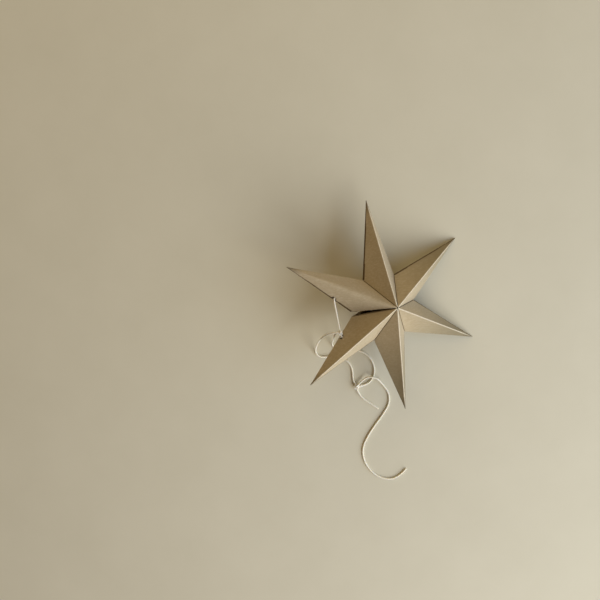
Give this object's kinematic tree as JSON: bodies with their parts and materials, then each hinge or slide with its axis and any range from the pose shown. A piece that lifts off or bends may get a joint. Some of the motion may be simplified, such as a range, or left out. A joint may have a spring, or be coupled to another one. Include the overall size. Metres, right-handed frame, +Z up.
{
  "type": "folded card star",
  "caption": "Hollow star of folded card points glued side by side, opened round and tied with a cord, lying on the ridges of two points.",
  "frame": {"origin": "on the surface the star lies on, under the middle of the card's bounding box, without the cords", "axes": "+Z up from the surface; +X the way the star leans, away from its tie gap; +Y along the hollow's long side, towards the fifth point"},
  "size_m": [0.1206, 0.2083, 0.0454],
  "materials": {
    "card": "matte kraft card",
    "cord": "matte waxed cotton"
  },
  "bodies": {
    "root": {"point_1": "card", "point_2": "card", "point_3": "card", "point_4": "card", "point_5": "card", "point_6": "card", "tie_cord": "cord", "front_strand": "cord", "back_strand": "cord", "long_tail": "cord", "short_tail": "cord", "stopper_knot_1": "cord", "stopper_knot_6": "cord", "tie_knot": "cord", "loop_knot": "cord"}
  },
  "joints": []
}
